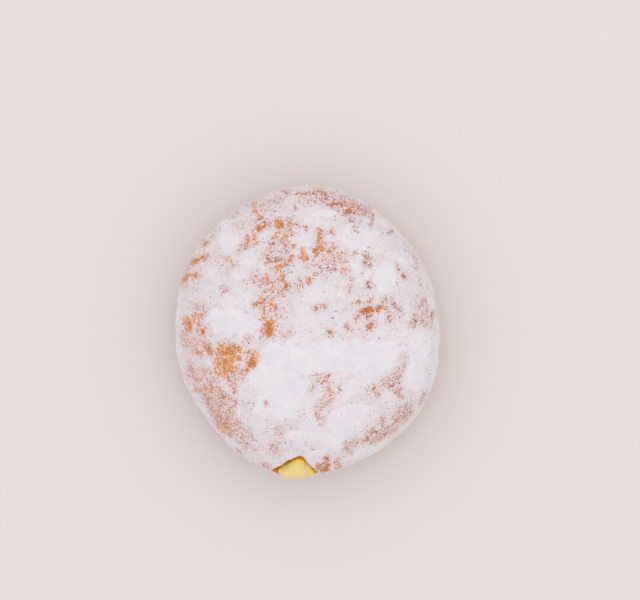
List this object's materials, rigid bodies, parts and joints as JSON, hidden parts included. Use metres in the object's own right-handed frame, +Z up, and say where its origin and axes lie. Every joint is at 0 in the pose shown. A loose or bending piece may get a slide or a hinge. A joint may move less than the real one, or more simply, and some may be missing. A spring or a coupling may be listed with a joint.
{
  "type": "custard filled doughnut",
  "caption": "Round yeast doughnut dusted with icing sugar, filled with pale custard that shows and swells out at a slit in its side. Rests on its flat foot.",
  "frame": {"origin": "middle of the footprint of the whole, custard included, at the height of the flat foot", "axes": "+Z up, -Y towards the slit with the custard, +X to the right seen from the slit"},
  "size_m": [0.0906, 0.0996, 0.0482],
  "materials": {
    "sugared_crust": "fried golden orange crust under a patchy matt coat of icing sugar",
    "custard": "smooth pale yellow custard, softly glossy",
    "icing_sugar": "fine white powder, in grains and small clumps"
  },
  "bodies": {
    "root": {"dough": "sugared_crust", "custard": "custard"}
  },
  "joints": []
}
